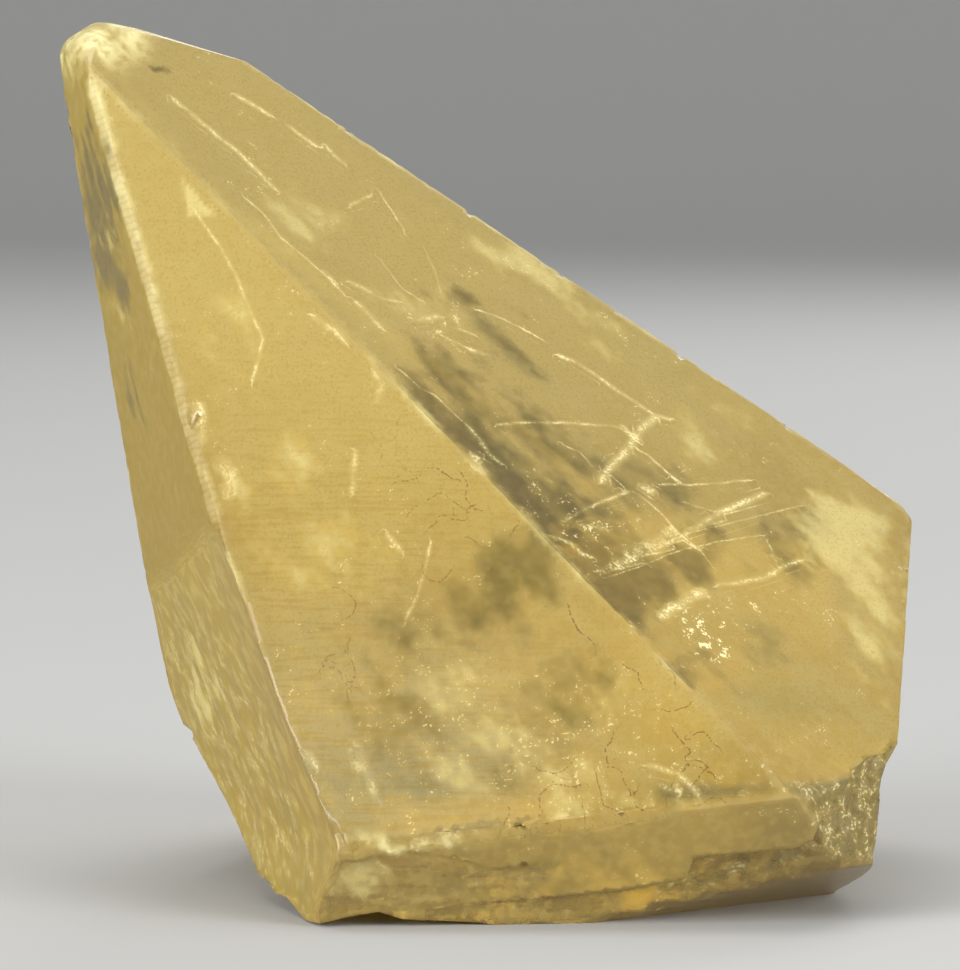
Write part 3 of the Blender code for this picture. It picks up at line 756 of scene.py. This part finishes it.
def mix(colours, share, colour):
    """Blend one colour over the colours by each point's share."""
    return colours + (np.array(colour[:3]) - colours) * np.clip(share, 0.0, 1.0)[:, None]


def paint(points, zones):
    """The body colour at each point with its painted shade, and how clear, rough and dull it is and how
    much chalk and painted highlight it has.
    """
    x, _, z = points.T
    edge = np.cross(PLANES["front"][0], PLANES["right"][0])
    edge /= np.linalg.norm(edge)

    # Noise: wide, in patches drawn out along the edges, and in the level sheets of the broken layers.
    wide = rough(points, 24.0, 2.0, 3)
    patch = rough(drawn_out(points, edge, 0.6), 3.6, 4.0, 4)
    # Strength of the worn edges' chalk and painted highlight.
    wear_and_edge_highlight = 0.1 + 0.6 * patch
    steep_patch = 1.6 * rough(drawn_out(points, np.array(BEVEL_ALONG), 0.8), 1.5, 8.0, 4)
    patch = patch + (steep_patch - patch) * zones["left"]
    sheets = rough(points, (12.0, 12.0, 1.1), 40.0, 2)

    colours = np.tile(np.array(HONEY[:3]), (len(points), 1))
    for share, colour in (
        (smooth(wide, -0.35, 0.35) * 0.6, HONEY_DEEP),
        (smooth(patch, -0.1, 0.5) * 0.5, HONEY_PALE),
        (smooth(z, 30.0, 70.0) * 0.65, HONEY_PALE),
        (zones["growth"] * smooth(44.0 - z, 0.0, 24.0) * 0.75, MILKY),
        # Painted shade on the left face.
        (zones["left"] * 0.8, LEFT_FACE_SHADE),
        (zones["orange"] * (0.85 + 0.6 * patch), ORANGE),
        (zones["flank"] * (0.55 + 0.35 * smooth(patch, -0.4, 0.5)), FLANK_PALE),
        # Painted shade on the lower faces that look down.
        (zones["lower"] * 0.65, LOWER_SHADE_OLIVE),
        (zones["brown"] * 0.9, BROWN),
        (zones["band"] * smooth(sheets, -0.3, 0.25), BAND_GREY),
        # Painted shade on the set-back ledge.
        (zones["ledge"] * 0.9, LEDGE_SHADE_GREY),
    ):
        colours = mix(colours, share, colour)

    # Clearest in the windows, least clear in the clouds and on the broken flank.
    clear, cloud = zones["clear"], zones["cloud"]
    window = smooth(clear + 0.55 * patch * smooth(clear, 0.0, 0.3), 0.1, 1.1)
    # The clouds include the glint, a painted reflection.
    cloudy = smooth(cloud - 0.7 * patch * smooth(cloud, 0.0, 0.3), 0.05, 1.2)
    clearness = (0.6 + 0.24 * window - 0.2 * cloudy) * (1.0 - 0.4 * zones["flank"])

    # Chalky white at the tip, along the bevel, on the girdle and on worn edges above the base, where it is
    # partly a painted highlight.
    chalk_and_highlight = np.maximum(zones["tip"] * (0.7 + 0.6 * patch), zones["strip"] * (0.35 + 0.4 * patch))
    girdle = 0.8 * zones["girdle"] * smooth(patch, 0.12, 0.6) * smooth(14.0 - x, 0.0, 16.0)
    above = smooth(z - 0.5 * np.clip(x, 0.0, 30.0), 12.0, 30.0)
    chalk_and_highlight = np.maximum(np.maximum(chalk_and_highlight, girdle), zones["worn"] * wear_and_edge_highlight * above)
    chalk_and_highlight = np.clip(chalk_and_highlight, 0.0, 1.0)

    # How rough the fine relief is, and how dull the gloss.
    relief = 0.014 + 0.05 * zones["flank"] * (1.0 - 0.7 * zones["orange"]) + 0.16 * zones["ledge"]
    relief += 0.12 * zones["rubble"] + 0.1 * zones["band"] + 0.08 * chalk_and_highlight
    dull = np.maximum(np.maximum(0.22 * zones["flank"], 0.3 * zones["left"]), 0.35 * zones["worn"])
    return colours, {"clearness": clearness, "chalk_and_highlight": chalk_and_highlight, "relief": relief, "window": window,
                     "cloudy": cloudy, "dull": dull}


def carve_relief(points, normals, zones, edges):
    """Press the small relief into the surface; nothing stands proud of the CAD solid."""
    # The flank is rough along its grain, and less so on the bruise.
    streaked = drawn_out(points, np.array(FLANK_GRAIN), 0.7)
    depth = 0.15 + 0.05 * rough(streaked, 1.2) + 0.16 * rough(points, 1.6, 4.0)
    depth *= zones["flank"] * (1.0 - 0.75 * zones["orange"])
    for name, (least, share, size, seed) in RELIEF.items():
        depth += zones[name] * (least + share * rough(points, size, seed))

    # Worn edges are bitten, and the faces are a little uneven.
    bites = smooth(rough(points, 1.6, 18.0, 2), 0.05, 0.5)
    depth += zones["worn"] * (0.02 + 0.14 * bites)
    depth += 0.03 * (1.0 + rough(points, 9.0, 21.0)) * (1.0 - zones["base"])
    for centre, radius, pit in PITS:
        distance = np.linalg.norm(points - np.array(centre), axis=1)
        depth += pit * (1.0 - smooth(distance / radius, 0.1, 1.0))

    push = -normals * np.clip(depth, 0.0, DEEPEST)[:, None]
    length = np.linalg.norm(points[edges[:, 0]] - points[edges[:, 1]], axis=1)
    weights = np.minimum((SOFTEN_LENGTH / np.maximum(length, 0.01)) ** 2, SOFTEN_MOST)
    for axis in range(3):
        push[:, axis] = neighbour_average(push[:, axis], edges, SOFTEN_ROUNDS, weights)
    return points + push


def read_mesh(data):
    """The mesh's points in millimetres, their normals, and the two ends of each edge."""
    points = np.empty(len(data.vertices) * 3)
    data.vertices.foreach_get("co", points)
    normals = np.empty(len(data.vertices) * 3, dtype=np.float32)
    data.vertex_normals.foreach_get("vector", normals)
    edges = np.empty(len(data.edges) * 2, dtype=np.int32)
    data.edges.foreach_get("vertices", edges)
    return points.reshape(-1, 3) / MM, normals.reshape(-1, 3).astype(float), edges.reshape(-1, 2)


def make_crystal(node):
    """The crystal that is seen: the fine copy with its relief, and the values that its material reads."""
    mesh = refined_copy(node)
    data = bpy.data.meshes.new("crystal")
    mesh.to_mesh(data)
    mesh.free()
    points, normals, edges = read_mesh(data)

    zones = surface_zones(points, normals, edges)
    marks_on(points, normals, zones)
    colours, fields = paint(points, zones)
    carved = carve_relief(points, normals, zones, edges)
    on_floor = (normals[:, 2] < -0.7) & (points[:, 2] < FLOOR_GAP)
    carved = np.where(on_floor[:, None], points, carved)
    carved = np.clip(carved, np.array(CAD_LOW) / MM, np.array(CAD_HIGH) / MM)
    data.vertices.foreach_set("co", (carved * MM).ravel())

    for name in ("line_side", "line_width", "line_power", "crack_side", "crack_power",
                 "flakes_and_sparkle", "growth", "flank", "flecks", "strip"):
        fields[name] = zones[name]
    for name, values in fields.items():
        data.attributes.new(name, "FLOAT", "POINT").data.foreach_set("value", values.astype(np.float32))
    tint = data.attributes.new("tint", "FLOAT_VECTOR", "POINT")
    tint.data.foreach_set("vector", colours.astype(np.float32).ravel())
    data.polygons.foreach_set("use_smooth", np.ones(len(data.polygons), dtype=bool))
    data.set_sharp_from_angle(angle=radians(SHARP_ANGLE))
    data.update()
    crystal = bpy.data.objects.new("crystal", data)
    bpy.context.scene.collection.objects.link(crystal)
    return crystal


# The crystal's material.


class Shading:
    """Short names for the shader nodes of one material."""

    def __init__(self, name):
        self.material = bpy.data.materials.new(name)
        self.material.use_nodes = True
        self.tree = self.material.node_tree
        self.shader = self.tree.nodes["Principled BSDF"]
        place = self.node("ShaderNodeTexCoord", out="Object")
        self.at = self.vector("SCALE", place, scale=1.0 / MM)

    def node(self, kind, inputs=(), out=0, **settings):
        made = self.tree.nodes.new(kind)
        for name, value in settings.items():
            setattr(made, name, value)
        for key, value in dict(inputs).items():
            self.feed(made.inputs[key], value)
        return made.outputs[out]

    def feed(self, socket, value):
        if isinstance(value, bpy.types.NodeSocket):
            self.tree.links.new(value, socket)
        else:
            socket.default_value = value

    def math(self, operation, first, second=0.0, third=0.0):
        return self.node("ShaderNodeMath", {0: first, 1: second, 2: third}, operation=operation)

    def plus(self, first, second):
        return self.math("ADD", first, second)

    def minus(self, first, second):
        return self.math("SUBTRACT", first, second)

    def times(self, first, second):
        return self.math("MULTIPLY", first, second)

    def times_plus(self, value, factor, added):
        return self.math("MULTIPLY_ADD", value, factor, added)

    def most(self, first, second):
        return self.math("MAXIMUM", first, second)

    def vector(self, operation, first, second=(0.0, 0.0, 0.0), scale=1.0):
        out = 1 if operation == "DOT_PRODUCT" else 0
        return self.node("ShaderNodeVectorMath", {0: first, 1: second, 3: scale}, out, operation=operation)

    def field(self, name, out="Fac"):
        return self.node("ShaderNodeAttribute", out=out, attribute_name=name)

    def step(self, value, low, high, start=0.0, end=1.0):
        inputs = {"Value": value, "From Min": low, "From Max": high, "To Min": start, "To Max": end}
        return self.node("ShaderNodeMapRange", inputs, interpolation_type="SMOOTHSTEP")

    def blend(self, share, first, second):
        return self.node("ShaderNodeMix", {0: share, 6: first, 7: second}, 2, data_type="RGBA")

    def lumps(self, size, detail, at):
        """Smooth noise, 0 to 1, whose lumps are about this many millimetres."""
        inputs = {"Vector": at, "Scale": 1.0 / size, "Detail": detail}
        return self.node("ShaderNodeTexNoise", inputs, "Fac")


def honey_and_painted_shade(s, small, fine):
    """The crystal's colour, with painted shade and a painted glint: the painted one with lines, windows,
    clouds, grain and notches.
    """
    # Fine dark growth lines, nearly level.
    level = s.vector("MULTIPLY", s.at, tuple(1.0 / size for size in GROWTH_LINE))
    growth = s.step(s.lumps(1.0, 0.0, level), 0.5, 0.68)
    growth = s.times(growth, s.times_plus(s.field("growth"), 0.42, 0.08))
    body = s.blend(growth, s.field("tint", "Color"), HONEY_DEEP)

    # Windows painted dark, a painted shade, and pale clouds with ragged rims, and a fine grain over both.
    ragged = s.plus(s.times_plus(small, 1.3, -0.65), s.times_plus(fine, 0.9, -0.45))
    window, cloudy = s.field("window"), s.field("cloudy")
    window = s.minus(window, s.times(ragged, s.step(window, 0.0, 0.4, 0.0, 0.4)))
    body = s.blend(s.step(window, 0.0, 0.95, 0.0, 0.78), body, WINDOW_SHADE)
    cloudy = s.plus(cloudy, s.times(ragged, s.step(cloudy, 0.0, 0.35)))
    # Pale clouds, with the glint painted in among them as a painted reflection.
    body = s.blend(s.step(cloudy, 0.05, 0.95, 0.0, 0.65), body, CLOUD_AND_GLINT)
    body = s.blend(s.step(small, 0.35, 0.7, 0.0, 0.4), body, HONEY_PALE)
    body = s.blend(s.step(fine, 0.45, 0.75, 0.0, 0.5), body, HONEY_DEEP)

    # Short notches across the narrow bevel.
    notch = s.times_plus(s.vector("DOT_PRODUCT", s.at, BEVEL_ALONG), NOTCH_PACE, s.times(small, 7.0))
    notch = s.times(s.step(s.math("SINE", notch), 0.1, 0.8), s.field("strip"))
    return s.blend(s.times(notch, 0.4), body, ORANGE)


def crack_share(s, fine, ripple):
    """Where thin brown cracks run."""
    crack = s.math("ABSOLUTE", s.plus(s.field("crack_side"), ripple))
    crack = s.times(s.step(crack, 0.03, 0.11, 1.0, 0.0), s.field("crack_power"))
    crack = s.times(crack, s.step(fine, 0.38, 0.55))
    return s.times(crack, 0.7)


def white_share(s, small, fine, ripple):
    """Cleavage veils, solid in the middle and flecked at the sides, and loose flakes, dashes and chips;
    the flakes and chips are partly painted sparkle.
    """
    side = s.math("ABSOLUTE", s.plus(s.field("line_side"), s.times(ripple, 0.5)))
    spread = s.math("DIVIDE", side, s.field("line_width"))
    veil = s.plus(s.plus(fine, s.times(small, 0.5)), s.times(spread, -0.24))
    veil = s.most(s.step(veil, 0.46, 0.86), s.step(spread, 0.2, 2.4, 0.36, 0.0))
    veil = s.times(veil, s.field("line_power"))
    flakes_and_sparkle = s.times(s.step(small, 0.5, 0.6), s.field("flakes_and_sparkle"))
    flakes_and_sparkle = s.times(s.step(fine, 0.6, 0.68), flakes_and_sparkle)
    dashes = s.times(s.field("flecks"), s.step(fine, 0.5, 0.62))
    dashes = s.times(s.step(small, 0.48, 0.62, 0.0, 0.75), dashes)
    chips_and_sparkle = s.step(s.times_plus(fine, 0.8, small), 1.07, 1.13)
    chips_and_sparkle = s.times(chips_and_sparkle, s.step(s.field("flakes_and_sparkle"), 0.5, 0.9))
    return s.most(s.most(veil, chips_and_sparkle), s.most(flakes_and_sparkle, dashes))


def calcite():
    """See-through honey calcite: its colour, clearness, gloss, fine relief and depth."""
    s = Shading("honey_calcite")

    # On the flank the noise is drawn out along the grain.
    along = s.vector("DOT_PRODUCT", s.at, FLANK_GRAIN)
    along = s.times(along, s.times(s.field("flank"), -0.5))
    drawn = s.vector("ADD", s.at, s.vector("SCALE", FLANK_GRAIN, scale=along))
    small = s.lumps(SMALL_GRAIN, 1.0, drawn)
    fine = s.lumps(FINE_GRAIN, 1.0, drawn)
    ripple = s.times_plus(small, 0.7, -0.35)

    white = white_share(s, small, fine, ripple)
    chalk_and_highlight = s.times(s.field("chalk_and_highlight"), s.step(small, 0.3, 0.6, 0.45, 1.0))
    body = honey_and_painted_shade(s, small, fine)
    body = s.blend(crack_share(s, fine, ripple), body, CRACK_BROWN)
    # Chalk, partly a painted highlight along the worn edges.
    body = s.blend(s.times(chalk_and_highlight, 0.85), body, CHALK_AND_HIGHLIGHT)
    # White veils and dashes, and flakes and chips that are partly painted sparkle.
    body = s.blend(s.times(white, 0.68), body, VEIL_AND_SPARKLE)
    s.feed(s.shader.inputs["Base Color"], body)

    solid = s.minus(1.0, s.most(white, chalk_and_highlight))
    s.feed(s.shader.inputs["Transmission Weight"], s.times(s.field("clearness"), solid))

    relief = s.field("relief")
    gloss = s.plus(s.times_plus(small, 0.14, 0.14), s.times(relief, 0.5))
    gloss = s.minus(gloss, s.times(s.field("window"), 0.13))
    dull = s.most(s.times(chalk_and_highlight, 0.25), s.field("dull"))
    s.feed(s.shader.inputs["Roughness"], s.plus(gloss, dull))
    s.feed(s.shader.inputs["IOR"], IOR)
    s.feed(s.shader.inputs["Specular IOR Level"], SPECULAR_LEVEL)

    # Fine relief, as deep as a point's relief value in millimetres.
    bump = {"Strength": 1.0, "Distance": MM, "Height": s.times(small, relief)}
    s.feed(s.shader.inputs["Normal"], s.node("ShaderNodeBump", bump))

    absorb = s.node("ShaderNodeVolumeAbsorption", {"Color": ABSORB_COLOUR, "Density": ABSORB_DENSITY})
    s.feed(s.tree.nodes["Material Output"].inputs["Volume"], absorb)
    return s.material


# Stage, light and camera.


def plain(name, tint, roughness):
    """A material of one colour and roughness."""
    material = bpy.data.materials.new(name)
    material.use_nodes = True
    shader = material.node_tree.nodes["Principled BSDF"]
    shader.inputs["Base Color"].default_value = tint
    shader.inputs["Roughness"].default_value = roughness
    return material


def make_stage():
    """A round, pale floor whose rim curves up into a backdrop on every side."""
    flat = STAGE_RADIUS - STAGE_BEND
    profile = [(0.0, 0.0), (flat, 0.0)]
    for step in range(1, BEND_STEPS + 1):
        angle = pi / 2.0 * step / BEND_STEPS
        profile.append((flat + STAGE_BEND * sin(angle), STAGE_BEND * (1.0 - cos(angle))))
    profile.append((STAGE_RADIUS, STAGE_HEIGHT))
    mesh = bmesh.new()
    corners = [mesh.verts.new((radius, 0.0, height)) for radius, height in profile]
    edges = [mesh.edges.new(pair) for pair in zip(corners[:-1], corners[1:])]
    bmesh.ops.spin(
        mesh, geom=corners + edges, axis=(0, 0, 1), cent=(0, 0, 0), steps=STAGE_SIDES, angle=2.0 * pi,
    )
    bmesh.ops.remove_doubles(mesh, verts=mesh.verts, dist=STAGE_WELD)
    data = bpy.data.meshes.new("floor")
    mesh.to_mesh(data)
    mesh.free()
    data.polygons.foreach_set("use_smooth", np.ones(len(data.polygons), dtype=bool))
    data.materials.append(plain("floor", STAGE_TINT, STAGE_ROUGHNESS))
    floor = bpy.data.objects.new("floor", data)
    bpy.context.scene.collection.objects.link(floor)


def soft_light(name, place, power):
    """A round area light at a place, aimed at the crystal."""
    data = bpy.data.lights.new(name, "AREA")
    data.shape = "DISK"
    data.size = LIGHT_SIZE
    data.energy = power
    light = bpy.data.objects.new(name, data)
    light.location = place
    light.rotation_euler = (LIGHT_AIM - Vector(place)).to_track_quat("-Z", "Y").to_euler()
    bpy.context.scene.collection.objects.link(light)


def make_light():
    """Four soft lights in a pale, even room."""
    for name, place, power in LIGHTS:
        soft_light(name, place, power)
    world = bpy.data.worlds.new("studio")
    bpy.context.scene.world = world
    world.use_nodes = True
    background = world.node_tree.nodes["Background"]
    background.inputs["Color"].default_value = WORLD_TINT
    background.inputs["Strength"].default_value = WORLD_STRENGTH


def make_camera():
    """The camera at the photograph's viewing angle."""
    down = radians(VIEW_DOWN)
    data = bpy.data.cameras.new("camera")
    data.sensor_fit = "HORIZONTAL"
    data.sensor_width = VIEW_SENSOR
    data.lens = VIEW_LENS
    data.clip_start = VIEW_NEAREST * MM
    camera = bpy.data.objects.new("camera", data)
    camera.location = (VIEW_TARGET - VIEW_DISTANCE * Vector((0.0, cos(down), -sin(down)))) * MM
    camera.rotation_euler = (pi / 2.0 - down, 0.0, 0.0)
    bpy.context.scene.collection.objects.link(camera)
    bpy.context.scene.camera = camera


make_camera()
make_light()
make_stage()
bpy.context.scene.view_settings.view_transform = "Standard"
for kind, count in BOUNCES.items():
    setattr(bpy.context.scene.cycles, kind + "_bounces", count)

crystal = make_crystal(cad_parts["calcite_crystal"])
crystal.data.materials.append(calcite())
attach(crystal, "root")
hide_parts("calcite_crystal")
